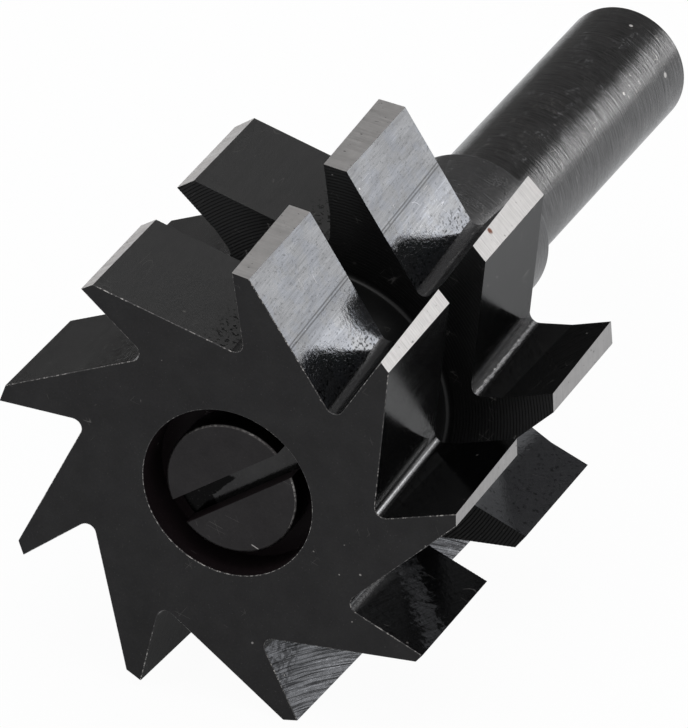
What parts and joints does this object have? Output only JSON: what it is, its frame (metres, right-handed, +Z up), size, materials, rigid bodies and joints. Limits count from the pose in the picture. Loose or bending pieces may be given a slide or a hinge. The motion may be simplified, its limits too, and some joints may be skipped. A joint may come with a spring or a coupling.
{
  "type": "tongue and groove router bit",
  "caption": "Shanked wood cutter with a toothed head whose turned groove leaves a tongue on a board's edge, held on its arbor by a slotted screw.",
  "frame": {"origin": "on the bench under the middle of the tool's length, where the tool lies on two neighbouring teeth", "axes": "+Y along the tool's axis from the cutter's front face towards the shank, +Z up from the bench, +X to the right as seen from the front"},
  "size_m": [0.0458, 0.094, 0.0454],
  "materials": {
    "blackened_head": "satin black oxide with bright ground lands and silvery milled back faces",
    "dark_arbor": "satin dark oxide with fine turning lines",
    "dark_screw": "satin black oxide, worn bright on its rims"
  },
  "bodies": {
    "root": {"cutter_head": "blackened_head", "arbor": "dark_arbor", "retaining_screw": "dark_screw"}
  },
  "joints": []
}
